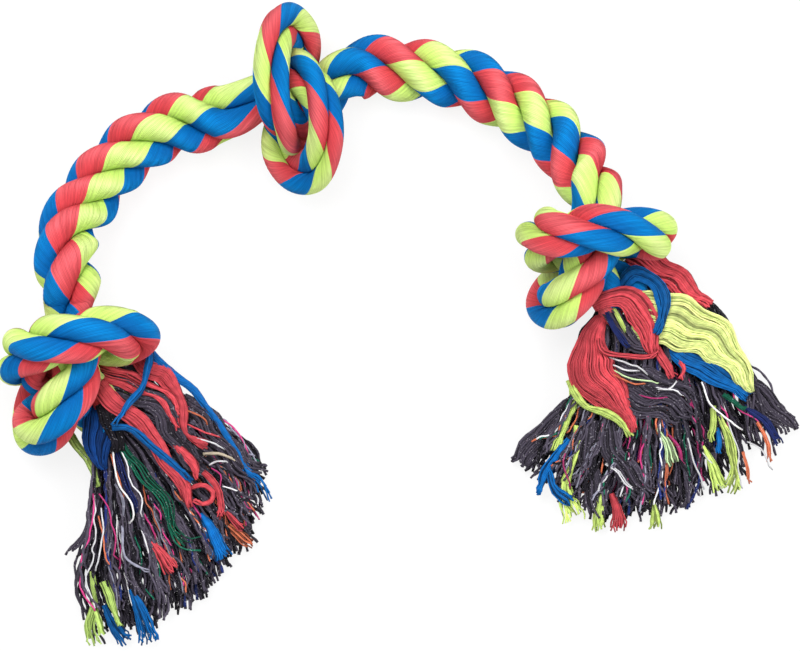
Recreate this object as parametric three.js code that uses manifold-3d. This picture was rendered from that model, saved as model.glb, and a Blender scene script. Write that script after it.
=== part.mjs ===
// A rope dog toy: one thick three-strand rope with an overhand knot in the middle and at each end, whose
// two ends are frayed into tassels. It lies flat on the ground. X runs along the toy, Y across it and Z up,
// in millimetres.
import * as THREE from 'three';
import Module from 'manifold-3d';

const wasm = await Module();
wasm.setup();

// Rope
const ropeDiameter = 26;
const packedShare = 0.93;
const armPitch = 57;
const knotPitch = 66;
const middleKnotPitch = 121;
const leftNeckShare = 0.92;
const rightNeckShare = 0.85;
const strandCount = 3;
const ringsPerTurn = 9;
const samplesPerPoint = 40;

// Where the knots lie, seen from above
const knotSpan = 208;
const knotRise = 104;
const leftKnotX = -128.78;
const leftKnotY = -16.29;

// Joints: where the rope gives when the toy is bent
const jointRadius = 0.523 * ropeDiameter;
const jointGap = 0.4;
const jointReach = 0.92 * ropeDiameter;
const jointArcSteps = 16;
const bendOpenDegrees = 40;
const bendCloseDegrees = 15;

// Tassels
const tasselLength = 100;
const tasselRootHeight = 0.92 * ropeDiameter;
const tasselEndHeight = 11;
const tasselRootLift = 0.15 * ropeDiameter;
const lockGap = 0.5;
const lockColumns = 6;
const lockLayers = 2;
const lockSteps = 6;

// Yarn colours
const red = 0xe0323c;
const lime = 0xa8e02a;
const blue = 0x0f5cb4;
const charcoal = 0x34323c;
const strandColours = [red, lime, blue];

const degree = Math.PI / 180;
const turnOnce = 2 * Math.PI;

// Section of one strand in the rope, as shares of the rope's radius: out from the rope's axis, then round
// it. Laid strands press each other into wedges with a round back.
const strandSectionShares = [
  [1.0, 0.0], [0.9, 0.36], [0.68, 0.56], [0.38, 0.57], [0.07, 0.0], [0.38, -0.57], [0.68, -0.56],
  [0.9, -0.36],
];

// Middle line of the rope through a tight overhand knot, as shares of the rope's diameter. The rope comes
// in at the top (+y) and leaves at the bottom.
const knotPathShares = [
  [-0.45, 1.05, -0.2], [-0.2, 0.5, -0.35], [0.15, 0.05, -0.6], [0.7, -0.4, -0.45], [0.9, -0.8, 0.1],
  [0.8, -0.95, 0.8], [0.3, -0.8, 1.2], [-0.35, -0.5, 1.35], [-0.8, -0.25, 0.95], [-0.95, -0.1, 0.4],
  [-1.05, 0.0, -0.3], [-1.0, 0.2, -1.0], [-0.55, 0.55, -1.3], [0.0, 0.85, -1.35], [0.6, 0.95, -0.9],
  [0.75, 0.8, -0.25], [0.7, 0.35, 0.3], [0.25, -0.1, 0.4], [-0.1, -0.6, 0.3],
];

// The same knot in the middle of the toy, pulled looser and slanting. Shares as above, in the toy's own X,
// Y and Z.
const middlePathShares = [
  [-0.8, 0.13, -0.18], [-0.08, 0.51, 0.08], [0.48, 0.36, 0.62], [0.74, -0.12, 0.83], [0.84, -0.75, 0.69],
  [0.64, -1.32, 0.11], [0.12, -1.38, -0.43], [-0.31, -1.03, -0.8], [-0.31, -0.51, -1.03],
  [-0.05, 0.18, -1.02],
  [0.25, 0.88, -0.93], [0.2, 1.32, -0.47], [-0.2, 1.49, 0.18], [-0.48, 1.08, 0.81], [-0.49, 0.34, 1.03],
  [-0.25, -0.36, 0.8], [0.08, -0.6, 0.06], [0.71, -0.06, -0.41],
];

// Each knot: its path, the length in which its strands go once round, how it is turned about its neck,
// tipped and rolled (degrees), how tight it is drawn in X, Y and Z as shares of the free rope, and its
// place as shares of the knot span, the knot rise and the rope's diameter.
const knots = {
  left: {
    pathShares: knotPathShares, pitch: knotPitch, turn: 205, tip: 20, roll: 24,
    tightShares: [0.83, 0.83, 0.67], placeShares: [0, 0, 1.19],
  },
  middle: {
    pathShares: middlePathShares, pitch: armPitch, turn: 0, tip: 0, roll: 0,
    tightShares: [0.6, 0.775, 0.68], placeShares: [0.427, 1.022, 0.95],
  },
  right: {
    pathShares: knotPathShares, pitch: knotPitch, turn: 192, tip: 20, roll: 20,
    tightShares: [0.83, 0.79, 0.67], placeShares: [0.998, 0.435, 1.21],
  },
};

// Free rope between and past the knots: shares of the knot span, the knot rise and the rope's diameter. The
// two tails end at the root of a tassel, one point past the joint there.
const leftTailShares = [[0.133, -0.31, 0.6], [0.078, -0.2, 0.68]];
const leftArmShares = [
  [0.0, 0.33, 1.42], [-0.004, 0.5, 1.05], [0.034, 0.64, 0.72], [0.093, 0.79, 0.58], [0.172, 0.905, 0.6],
  [0.257, 0.949, 0.61], [0.309, 0.972, 0.66],
];
const rightArmShares = [
  [0.525, 1.115, 0.63], [0.571, 1.148, 0.58], [0.644, 1.14, 0.56], [0.745, 1.11, 0.56], [0.848, 1.01, 0.58],
  [0.934, 0.88, 0.8], [0.99, 0.73, 1.2],
];
const rightTailShares = [[1.073, 0.231, 0.68], [1.1245, 0.1165, 0.6]];
const armBendPoint = 3;

// Each tassel's three edges seen from above, low side, middle and high side, from the joint at its root out
// to the tips: where they start, as shares of the joint's radius, then shares of the tassel's length. Then
// the lock colours by layer, low side first.
const leftTassel = {
  rootShares: [[-0.515, -1.015], [0.846, -0.765], [0.956, 0.618]],
  edgeShares: [
    [[-0.09, -0.39], [-0.12, -0.63], [-0.06, -0.91]],
    [[0.22, -0.29], [0.34, -0.51], [0.4, -0.73]],
    [[0.34, 0.04], [0.52, -0.09], [0.655, -0.29]],
  ],
  colours: [
    [charcoal, lime, charcoal, charcoal, blue, charcoal],
    [blue, charcoal, charcoal, red, charcoal, red],
  ],
};
const rightTassel = {
  rootShares: [[-0.618, -0.956], [0.765, -0.846], [1.015, 0.515]],
  edgeShares: [
    [[-0.2, -0.32], [-0.32, -0.5], [-0.43, -0.65]],
    [[0.1, -0.42], [0.1, -0.66], [0.07, -0.9]],
    [[0.34, 0.02], [0.5, -0.25], [0.68, -0.55]],
  ],
  colours: [
    [charcoal, blue, charcoal, charcoal, lime, charcoal],
    [charcoal, red, charcoal, red, lime, lime],
  ],
};

// The rope's route, from the left tassel to the right one

function placeOf([spanShare, riseShare, diameterShare]) {
  return new THREE.Vector3(
    leftKnotX + spanShare * knotSpan,
    leftKnotY + riseShare * knotRise,
    diameterShare * ropeDiameter,
  );
}

function freePoint(shares) {
  return { at: placeOf(shares), size: new THREE.Vector3().setScalar(ropeDiameter), pitch: armPitch };
}

function knotPoints({ pathShares, pitch, turn, tip, roll, tightShares, placeShares }) {
  const pose = new THREE.Matrix4().makeRotationZ(roll * degree);
  pose.multiply(new THREE.Matrix4().makeRotationX(tip * degree));
  pose.multiply(new THREE.Matrix4().makeRotationY(turn * degree));
  const size = new THREE.Vector3(...tightShares).multiplyScalar(ropeDiameter);
  const centre = placeOf(placeShares);
  return pathShares.map((shares) => {
    const at = new THREE.Vector3(...shares).applyMatrix4(pose).multiply(size).add(centre);
    return { at, size, pitch };
  });
}

const route = [
  ...leftTailShares.map(freePoint),
  ...knotPoints(knots.left).reverse(),
  ...leftArmShares.map(freePoint),
  ...knotPoints(knots.middle),
  ...rightArmShares.map(freePoint),
  ...knotPoints(knots.right),
  ...rightTailShares.map(freePoint),
];
const leftBendPoint = leftTailShares.length + knotPathShares.length + armBendPoint;
const rightBendPoint = leftBendPoint + leftArmShares.length + middlePathShares.length;
const leftRootPoint = leftTailShares.length - 1;
const rightRootPoint = route.length - rightTailShares.length;
const leftNeckPoint = leftTailShares.length + knotPathShares.length + leftArmShares.length - 1;
const rightNeckPoint = leftNeckPoint + middlePathShares.length + 1;

// The middle knot is looser: its strands turn slowly from the left neck to just before the right one. The
// rope is drawn in at both necks.
for (let index = leftNeckPoint; index < rightNeckPoint - 1; index += 1) {
  route[index].pitch = middleKnotPitch;
}
route[leftNeckPoint].size.multiplyScalar(leftNeckShare);
route[rightNeckPoint].size.multiplyScalar(rightNeckShare);

// The rope sampled finely: place, the rope's size there in X, Y and Z, two directions across it and how far
// the strands have turned. The directions are taken before the knot's squeeze, so the squeeze acts on whole
// sections.

function splineThrough(points) {
  return new THREE.CatmullRomCurve3(points, false, 'catmullrom', 0.5);
}

function sampleRope() {
  const places = splineThrough(route.map((point) => point.at));
  const sizes = splineThrough(route.map((point) => point.size));
  const pitches = splineThrough(route.map((point) => new THREE.Vector3(point.pitch, 0, 0)));
  const count = (route.length - 1) * samplesPerPoint;
  const samples = [];
  let across = new THREE.Vector3(0, 0, 1);
  let layAngle = 0;
  for (let index = 0; index <= count; index += 1) {
    const share = index / count;
    const at = places.getPoint(share);
    const size = sizes.getPoint(share);
    const along = places.getTangent(share).divide(size).normalize();
    across = across.clone().addScaledVector(along, -across.dot(along)).normalize();
    if (index > 0) {
      layAngle += (turnOnce * at.distanceTo(samples[index - 1].at)) / pitches.getPoint(share).x;
    }
    samples.push({ at, size, along, across, other: along.clone().cross(across), layAngle });
  }
  return samples;
}

const samples = sampleRope();

// Solids

function solidFromTriangles(places, triangles) {
  const vertProperties = new Float32Array(places.flatMap((place) => [place.x, place.y, place.z]));
  const triVerts = new Uint32Array(triangles);
  return new wasm.Manifold(new wasm.Mesh({ numProp: 3, vertProperties, triVerts }));
}

// Skins a row of rings that have the same number of points. The quads of the first half of a ring and those
// of the second are split the mirrored way, so that two strands' touching faces stay parallel.
function solidFromRings(rings) {
  const size = rings[0].length;
  const last = rings.length - 1;
  const triangles = [];
  for (let ring = 0; ring < last; ring += 1) {
    for (let corner = 0; corner < size; corner += 1) {
      const next = (corner + 1) % size;
      const a = ring * size + corner;
      const b = ring * size + next;
      const c = a + size;
      const d = b + size;
      if (corner < size / 2) {
        triangles.push(a, b, d, a, d, c);
      } else {
        triangles.push(a, b, c, b, d, c);
      }
    }
  }
  for (let corner = 1; corner < size - 1; corner += 1) {
    triangles.push(0, corner + 1, corner);
    triangles.push(last * size, last * size + corner, last * size + corner + 1);
  }
  return solidFromTriangles(rings.flat(), triangles);
}

function solidFromGeometry(geometry) {
  const flat = geometry.index ? geometry.toNonIndexed() : geometry;
  const positions = flat.getAttribute('position');
  const places = [];
  const triangles = [];
  const seen = new Map();
  for (let index = 0; index < positions.count; index += 1) {
    const place = new THREE.Vector3().fromBufferAttribute(positions, index);
    const key = [place.x, place.y, place.z].map((value) => value.toFixed(4)).join(' ');
    if (!seen.has(key)) {
      seen.set(key, places.length);
      places.push(place);
    }
    triangles.push(seen.get(key));
  }
  return solidFromTriangles(places, triangles);
}

function largestPiece(solid) {
  const pieces = solid.decompose();
  return pieces.reduce((best, piece) => (piece.volume() > best.volume() ? piece : best));
}

function geometryFromSolid(solid) {
  const { vertProperties, triVerts } = solid.getMesh();
  const geometry = new THREE.BufferGeometry();
  geometry.setAttribute('position', new THREE.BufferAttribute(new Float32Array(vertProperties), 3));
  geometry.setIndex(new THREE.BufferAttribute(new Uint32Array(triVerts), 1));
  geometry.computeVertexNormals();
  return geometry;
}

function meshOf(name, solid, colour) {
  const material = new THREE.MeshStandardMaterial({ color: colour, roughness: 0.85, metalness: 0 });
  const mesh = new THREE.Mesh(geometryFromSolid(solid), material);
  mesh.name = name;
  return mesh;
}

// Joint tools: upright prisms round a point of the rope. The heading is the way towards the end of the toy.

function arcPoints(radius, fromAngle, toAngle) {
  const points = [];
  for (let step = 0; step <= jointArcSteps; step += 1) {
    const angle = fromAngle + ((toAngle - fromAngle) * step) / jointArcSteps;
    points.push(new THREE.Vector2(radius * Math.cos(angle), radius * Math.sin(angle)));
  }
  return points;
}

function uprightPrism(outline, at, heading) {
  const depth = 4 * ropeDiameter;
  const geometry = new THREE.ExtrudeGeometry(new THREE.Shape(outline), { depth, bevelEnabled: false });
  geometry.rotateZ(heading);
  geometry.translate(at.x, at.y, -depth / 2);
  return solidFromGeometry(geometry);
}

// Takes away what lies past a round end of the rope.
function roundEndTool(at, heading) {
  const square = 90 * degree;
  const outline = [...arcPoints(jointReach, -square, square), ...arcPoints(jointRadius, square, -square)];
  return uprightPrism(outline, at, heading);
}

// Takes away what lies behind a hollow end, with room on each side for the joint's range.
function hollowEndTool(at, heading, minusDegrees, plusDegrees) {
  const high = (90 - plusDegrees) * degree;
  const low = (minusDegrees - 90) * degree;
  const outline = [
    ...arcPoints(jointReach, high, turnOnce + low),
    ...arcPoints(jointRadius + jointGap, low, high),
  ];
  return uprightPrism(outline, at, heading);
}

function sampleAt(point) {
  return samples[point * samplesPerPoint];
}

function headingAt(point, towardsStart) {
  const { along } = sampleAt(point);
  const sign = towardsStart ? -1 : 1;
  return Math.atan2(sign * along.y, sign * along.x);
}

// Ground: what a knot's weight presses flat

function belowGroundTool() {
  const side = 4 * knotSpan;
  const geometry = new THREE.BoxGeometry(side, side, ropeDiameter);
  geometry.translate(0, 0, -ropeDiameter / 2);
  return solidFromGeometry(geometry);
}

// Strands

function strandRing(sample, strand) {
  const angle = sample.layAngle + (turnOnce * strand) / strandCount;
  const outwards = sample.across.clone().multiplyScalar(Math.cos(angle));
  outwards.addScaledVector(sample.other, Math.sin(angle));
  const around = sample.along.clone().cross(outwards);
  return strandSectionShares.map(([outShare, aroundShare]) => {
    const offset = outwards.clone().multiplyScalar(outShare).addScaledVector(around, aroundShare);
    return offset.multiplyScalar(packedShare / 2).multiply(sample.size).add(sample.at);
  });
}

// What the rope is like where its strands have turned by an angle, between two samples.
function sampleBetween(before, after, wantedAngle) {
  const share = (wantedAngle - before.layAngle) / (after.layAngle - before.layAngle);
  const blend = (key) => before[key].clone().lerp(after[key], share);
  const along = blend('along').normalize();
  const across = blend('across').normalize();
  const other = along.clone().cross(across);
  return { at: blend('at'), size: blend('size'), along, across, other, layAngle: wantedAngle };
}

// Rings where the strands have turned by equal steps, between two path points and a joint's reach past them.
function strandSolid(strand, fromPoint, toPoint) {
  const lastSample = samples.length - 1;
  const overrun = Math.ceil(1.2 * samplesPerPoint);
  const first = Math.max(0, fromPoint * samplesPerPoint - overrun);
  const end = Math.min(lastSample, toPoint * samplesPerPoint + overrun);
  const firstAngle = samples[first].layAngle;
  const fullAngle = samples[end].layAngle - firstAngle;
  const steps = Math.round((fullAngle * ringsPerTurn) / turnOnce);
  const rings = [];
  let index = first;
  for (let step = 0; step <= steps; step += 1) {
    const wantedAngle = firstAngle + (fullAngle * step) / steps;
    while (index < end - 1 && samples[index + 1].layAngle < wantedAngle) {
      index += 1;
    }
    rings.push(strandRing(sampleBetween(samples[index], samples[index + 1], wantedAngle), strand));
  }
  return solidFromRings(rings);
}

function addStrands(group, bodyName, fromPoint, toPoint, tools) {
  for (let strand = 0; strand < strandCount; strand += 1) {
    let solid = strandSolid(strand, fromPoint, toPoint);
    for (const tool of tools) {
      solid = solid.subtract(tool);
    }
    group.add(meshOf(`${bodyName}_strand_${strand + 1}`, largestPiece(solid), strandColours[strand]));
  }
}

// Tassels: a space that follows the fan of the frayed end. Shares run along it, across it and up through it.

function tasselSpace(rootPoint, { rootShares, edgeShares }) {
  const root = sampleAt(rootPoint).at;
  const placeFrom = ([x, y], size) => new THREE.Vector3(root.x + x * size, root.y + y * size, 0);
  const edges = edgeShares.map((edge, number) => splineThrough([
    placeFrom(rootShares[number], jointRadius),
    ...edge.map((shares) => placeFrom(shares, tasselLength)),
  ]));
  return (alongShare, acrossShare, upShare) => {
    const [low, middle, high] = edges.map((edge) => edge.getPoint(alongShare));
    const slope = high.clone().sub(low).multiplyScalar(acrossShare / 2);
    const curve = high.clone().add(low).addScaledVector(middle, -2).multiplyScalar(acrossShare ** 2 / 2);
    const place = middle.clone().add(slope).add(curve);
    const fallShare = Math.max(0, 1 - 3 * alongShare);
    const height = tasselRootHeight + (tasselEndHeight - tasselRootHeight) * alongShare;
    place.z = tasselRootLift * fallShare + height * upShare;
    return place;
  };
}

function lockSolid(space, column, layer) {
  const gapAcross = lockGap / jointRadius / 2;
  const gapUp = lockGap / tasselEndHeight / 2;
  const low = -1 + (2 * column) / lockColumns + gapAcross;
  const high = -1 + (2 * (column + 1)) / lockColumns - gapAcross;
  const bottom = layer / lockLayers + (layer > 0 ? gapUp : 0);
  const top = (layer + 1) / lockLayers - gapUp;
  const middle = (bottom + top) / 2;
  const shoulder = (high - low) / 4;
  const corners = [
    [low, middle], [low + shoulder, bottom], [high - shoulder, bottom],
    [high, middle], [high - shoulder, top], [low + shoulder, top],
  ];
  const raggedShare = ((3 * column + 2 * layer) % lockColumns) / lockColumns;
  const lengthShare = 1 - raggedShare / 6;
  const rings = [];
  for (let step = 0; step <= lockSteps; step += 1) {
    const alongShare = (lengthShare * step) / lockSteps;
    rings.push(corners.map(([acrossShare, upShare]) => space(alongShare, acrossShare, upShare)));
  }
  return solidFromRings(rings);
}

function addTassel(group, side, rootPoint, tassel) {
  const space = tasselSpace(rootPoint, tassel);
  for (let layer = 0; layer < lockLayers; layer += 1) {
    for (let column = 0; column < lockColumns; column += 1) {
      const number = layer * lockColumns + column + 1;
      const name = `${side}_tassel_lock_${String(number).padStart(2, '0')}`;
      group.add(meshOf(name, lockSolid(space, column, layer), tassel.colours[layer][column]));
    }
  }
}

// The toy

const toy = new THREE.Group();
const lastPoint = route.length - 1;
const leftBend = sampleAt(leftBendPoint).at;
const rightBend = sampleAt(rightBendPoint).at;
const leftRoot = sampleAt(leftRootPoint).at;
const rightRoot = sampleAt(rightRootPoint).at;
const leftHeading = headingAt(leftBendPoint, true);
const rightHeading = headingAt(rightBendPoint, false);
const ground = belowGroundTool();

addStrands(toy, 'left_knot', 0, leftBendPoint, [
  ground,
  roundEndTool(leftRoot, headingAt(leftRootPoint, true)),
  hollowEndTool(leftBend, leftHeading, bendOpenDegrees, bendCloseDegrees),
]);
addStrands(toy, 'middle_knot', leftBendPoint, rightBendPoint, [
  ground,
  roundEndTool(leftBend, leftHeading),
  roundEndTool(rightBend, rightHeading),
]);
addStrands(toy, 'right_knot', rightBendPoint, lastPoint, [
  ground,
  roundEndTool(rightRoot, headingAt(rightRootPoint, false)),
  hollowEndTool(rightBend, rightHeading, bendCloseDegrees, bendOpenDegrees),
]);
addTassel(toy, 'left', leftRootPoint, leftTassel);
addTassel(toy, 'right', rightRootPoint, rightTassel);

export default toy;
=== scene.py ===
# %% [markdown]
# ## A rope dog toy
# One thick rope of cotton yarn, laid from three strands, with an overhand knot in the middle and at each end.
# Past the end knots the rope is frayed, and its yarns fan out into tassels. The toy lies flat on the ground.
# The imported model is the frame: it says where each part of the toy is and how it bends. Every length is in metres.

# %% Frame
import math

import bpy
import numpy as np
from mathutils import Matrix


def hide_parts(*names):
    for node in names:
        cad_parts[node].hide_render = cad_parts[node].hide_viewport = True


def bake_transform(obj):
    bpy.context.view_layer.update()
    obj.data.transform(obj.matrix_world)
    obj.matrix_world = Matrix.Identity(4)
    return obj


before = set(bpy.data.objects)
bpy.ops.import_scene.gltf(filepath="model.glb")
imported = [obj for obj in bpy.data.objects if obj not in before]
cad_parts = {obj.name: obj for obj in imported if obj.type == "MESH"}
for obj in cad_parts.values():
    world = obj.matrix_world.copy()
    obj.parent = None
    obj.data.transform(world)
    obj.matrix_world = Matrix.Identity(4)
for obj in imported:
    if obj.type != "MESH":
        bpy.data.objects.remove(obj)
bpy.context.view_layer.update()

# %% [markdown]
# ## Camera
# The photograph looks straight down on the toy, so the camera hangs above it with north up. A long lens far
# away keeps tall knots from leaning outwards. One pixel of the photograph covers a fixed length at the arms' height.

# %% Camera
photo_width = 800
photo_height = 651
pixel = 0.0004
photo_centre = (0.00322, -0.00029)
camera_height = 3.2
arm_height = 0.022
sensor_width = 36


def seen_at(column, row):
    """The place on the ground under a pixel of the photograph."""
    return (
        photo_centre[0] + (column - photo_width / 2) * pixel,
        photo_centre[1] + (photo_height / 2 - row) * pixel,
    )


def placed(name, data):
    """A new object in the scene."""
    made = bpy.data.objects.new(name, data)
    bpy.context.scene.collection.objects.link(made)
    return made


def make_camera():
    lens = bpy.data.cameras.new("photo_camera")
    lens.sensor_width = sensor_width
    lens.lens = lens.sensor_width * (camera_height - arm_height) / (photo_width * pixel)
    camera = placed("photo_camera", lens)
    camera.location = (*photo_centre, camera_height)
    bpy.context.scene.camera = camera
    return lens


print("lens in millimetres", round(make_camera().lens))

# %% [markdown]
# ## Route of the rope
# The rope is one long curve through listed points: a tail, a knot, an arm, a knot, an arm, a knot, a
# tail. The end knots share one tight overhand path. The middle knot has a looser one, and a slower lay, because
# the photograph shows its lay opened out. Each path is turned and squeezed to lie as in the photograph. The
# squeeze is applied to whole sections of rope, so passes that press on each other never cut into each other.

# %% Route points
rope_diameter = 0.026
arm_pitch = 0.057
knot_pitch = 0.066
middle_knot_pitch = 0.121
left_neck_share = 0.92
right_neck_share = 0.85
knot_span = 0.208
knot_rise = 0.104
left_knot_x = -0.12878
left_knot_y = -0.01629
samples_per_point = 40

knot_path_shares = [
    (-0.45, 1.05, -0.2), (-0.2, 0.5, -0.35), (0.15, 0.05, -0.6), (0.7, -0.4, -0.45), (0.9, -0.8, 0.1),
    (0.8, -0.95, 0.8), (0.3, -0.8, 1.2), (-0.35, -0.5, 1.35), (-0.8, -0.25, 0.95), (-0.95, -0.1, 0.4),
    (-1.05, 0, -0.3), (-1, 0.2, -1), (-0.55, 0.55, -1.3), (0, 0.85, -1.35), (0.6, 0.95, -0.9),
    (0.75, 0.8, -0.25), (0.7, 0.35, 0.3), (0.25, -0.1, 0.4), (-0.1, -0.6, 0.3),
]
middle_path_shares = [
    (-0.8, 0.13, -0.18), (-0.08, 0.51, 0.08), (0.48, 0.36, 0.62), (0.74, -0.12, 0.83), (0.84, -0.75, 0.69),
    (0.64, -1.32, 0.11), (0.12, -1.38, -0.43), (-0.31, -1.03, -0.8), (-0.31, -0.51, -1.03), (-0.05, 0.18, -1.02),
    (0.25, 0.88, -0.93), (0.2, 1.32, -0.47), (-0.2, 1.49, 0.18), (-0.48, 1.08, 0.81), (-0.49, 0.34, 1.03),
    (-0.25, -0.36, 0.8), (0.08, -0.6, 0.06), (0.71, -0.06, -0.41),
]
left_knot = dict(
    path=knot_path_shares, pitch=knot_pitch, turn=205, tip=20, roll=24,
    tight=(0.83, 0.83, 0.67), place=(0, 0, 1.19),
)
middle_knot = dict(
    path=middle_path_shares, pitch=arm_pitch, turn=0, tip=0, roll=0,
    tight=(0.6, 0.775, 0.68), place=(0.427, 1.022, 0.95),
)
right_knot = dict(
    path=knot_path_shares, pitch=knot_pitch, turn=192, tip=20, roll=20,
    tight=(0.83, 0.79, 0.67), place=(0.998, 0.435, 1.21),
)
left_tail_shares = [(0.133, -0.31, 0.6), (0.078, -0.2, 0.68)]
left_arm_shares = [
    (0, 0.33, 1.42), (-0.004, 0.5, 1.05), (0.034, 0.64, 0.72), (0.093, 0.79, 0.58), (0.172, 0.905, 0.6),
    (0.257, 0.949, 0.61), (0.309, 0.972, 0.66),
]
right_arm_shares = [
    (0.525, 1.115, 0.63), (0.571, 1.148, 0.58), (0.644, 1.14, 0.56), (0.745, 1.11, 0.56), (0.848, 1.01, 0.58),
    (0.934, 0.88, 0.8), (0.99, 0.73, 1.2),
]
right_tail_shares = [(1.073, 0.231, 0.68), (1.1245, 0.1165, 0.6)]
arm_bend_point = 3


def turned(axis, degrees):
    """Rotation matrix about X, Y or Z."""
    c, s = math.cos(math.radians(degrees)), math.sin(math.radians(degrees))
    return np.array({
        "x": ((1, 0, 0), (0, c, -s), (0, s, c)),
        "y": ((c, 0, s), (0, 1, 0), (-s, 0, c)),
        "z": ((c, -s, 0), (s, c, 0), (0, 0, 1)),
    }[axis])


def free_points(shares):
    """Places, sizes in X, Y and Z, and lay length of free rope."""
    x, y, z = np.array(shares).T
    places = np.column_stack([left_knot_x + x * knot_span, left_knot_y + y * knot_rise, z * rope_diameter])
    sizes = np.full(places.shape, rope_diameter)
    return np.column_stack([places, sizes, np.full(len(places), arm_pitch)])


def knot_points(knot):
    """The same for a knot, whose path is turned, squeezed and set in its place."""
    pose = turned("z", knot["roll"]) @ turned("x", knot["tip"]) @ turned("y", knot["turn"])
    size = np.array(knot["tight"]) * rope_diameter
    centre = free_points([knot["place"]])[0, :3]
    places = (np.array(knot["path"]) @ pose.T) * size + centre
    sizes = np.tile(size, (len(places), 1))
    return np.column_stack([places, sizes, np.full(len(places), knot["pitch"])])


parts = [
    free_points(left_tail_shares), knot_points(left_knot)[::-1], free_points(left_arm_shares),
    knot_points(middle_knot), free_points(right_arm_shares), knot_points(right_knot),
    free_points(right_tail_shares),
]
route = np.vstack(parts)
part_ends = np.cumsum([len(part) for part in parts]).tolist()
left_tail_end, left_knot_end, left_arm_end, middle_end, _, right_knot_end, _ = part_ends
left_root_point, right_root_point = left_tail_end - 1, right_knot_end
left_bend_point, right_bend_point = left_knot_end + arm_bend_point, middle_end + arm_bend_point
split_point = left_arm_end + len(middle_path_shares) // 2
route[left_arm_end - 1:middle_end - 1, 6] = middle_knot_pitch
route[left_arm_end - 1, 3:6] *= left_neck_share
route[middle_end, 3:6] *= right_neck_share
print("route points", len(route))


# %% Rope sampled finely
def spline(points, per_point):
    """A smooth curve through points, with per_point samples from each to the next."""
    points = np.asarray(points, float)
    padded = np.vstack([2 * points[0] - points[1], points, 2 * points[-1] - points[-2]])
    share = (np.arange(per_point) / per_point)[:, None]
    pieces = []
    for a, b, c, d in zip(padded, padded[1:], padded[2:], padded[3:]):
        pieces.append(
            b + share / 2 * ((c - a) + share * ((2 * a - 5 * b + 4 * c - d) + share * (3 * (b - c) + d - a)))
        )
    return np.vstack(pieces + [points[-1:]])


def unit(vectors):
    return vectors / np.linalg.norm(vectors, axis=-1, keepdims=True)


line = spline(route, samples_per_point)
places, sizes, pitches = line[:, :3], line[:, 3:6], line[:, 6]
along = unit(np.gradient(places, axis=0) / sizes)
across = np.empty_like(along)
across[0] = (0, 0, 1)
for index in range(len(along)):
    carried = across[max(index - 1, 0)]
    across[index] = unit(carried - along[index] * (carried @ along[index]))
other = np.cross(along, across)
steps = np.linalg.norm(np.diff(places, axis=0), axis=1)
travelled = np.concatenate([[0], np.cumsum(steps)])
lay_angle = np.concatenate([[0], np.cumsum(2 * math.pi * steps / pitches[1:])])
print("rope length", round(travelled[-1], 4), "turns of lay", round(lay_angle[-1] / 2 / math.pi, 2))

# %% [markdown]
# ## Shader maths
# Each finish below is worked out on the surface, from where a point lies round and along its strand. One small
# class wraps a socket so that such sums read as sums, and one method adds any other node.


# %% Shader helpers
class Wire:
    """One value inside a material's node tree, or a colour or vector."""

    def __init__(self, finish, socket):
        self.finish = finish
        self.socket = socket

    def maths(self, operation, left, right=0):
        return self.finish.node("Math", {"operation": operation}, {0: left, 1: right})

    def __add__(self, value):
        return self.maths("ADD", self, value)

    def __radd__(self, value):
        return self.maths("ADD", value, self)

    def __sub__(self, value):
        return self.maths("SUBTRACT", self, value)

    def __mul__(self, value):
        return self.maths("MULTIPLY", self, value)

    def fraction(self):
        return self.maths("FRACT", self)

    def sine(self):
        return self.maths("SINE", self)

    def above(self, value):
        return self.maths("GREATER_THAN", self, value)


class Finish:
    """A material with a Principled shader, and the one way to add nodes to it."""

    def __init__(self, name, constants):
        self.material = bpy.data.materials.new(name)
        self.material.use_nodes = True
        self.tree = self.material.node_tree
        self.shader = self.tree.nodes["Principled BSDF"]
        for socket, value in constants.items():
            self.shader.inputs[socket].default_value = value

    def node(self, kind, settings, sockets, output=0):
        made = self.tree.nodes.new("ShaderNode" + kind)
        for setting, value in settings.items():
            setattr(made, setting, value)
        for name, value in sockets.items():
            self.put(made.inputs[name], value)
        return Wire(self, made.outputs[output])

    def put(self, socket, value):
        if isinstance(value, Wire):
            self.tree.links.new(value.socket, socket)
        else:
            socket.default_value = value

    def feed(self, socket, value):
        self.put(self.shader.inputs[socket], value)

    def mix(self, factor, low, high):
        """A colour between two, by a factor."""
        return self.node("Mix", {"data_type": "RGBA"}, {0: factor, 6: low, 7: high}, output=2)

    def noise(self, vector, scale, detail=3.0):
        return self.node("TexNoise", {}, {"Vector": vector, "Scale": scale, "Detail": detail})

    def strand_place(self):
        """The map's place round a strand and length along it, as one vector and as two numbers."""
        place = self.node("UVMap", {"uv_map": "yarn_place"}, {})
        round_share = self.node("SeparateXYZ", {}, {0: place})
        return place, round_share, Wire(self, round_share.socket.node.outputs[1])

    def scaled(self, tint, shade):
        return self.node("VectorMath", {"operation": "SCALE"}, {0: tint, "Scale": shade})

    def streaked(self, round_share, length, scales, detail):
        """Noise on a strand, with one scale round it and one along it."""
        spread = self.node("CombineXYZ", {}, {0: round_share * scales[0], 1: length * scales[1]})
        return self.noise(spread, 1.0, detail)


def colour(red, green, blue):
    """A colour written as it looks on a screen, from 0 to 255."""
    shares = [value / 255 for value in (red, green, blue)]
    linear = [s / 12.92 if s <= 0.04045 else ((s + 0.055) / 1.055) ** 2.4 for s in shares]
    return (*linear, 1)
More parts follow.
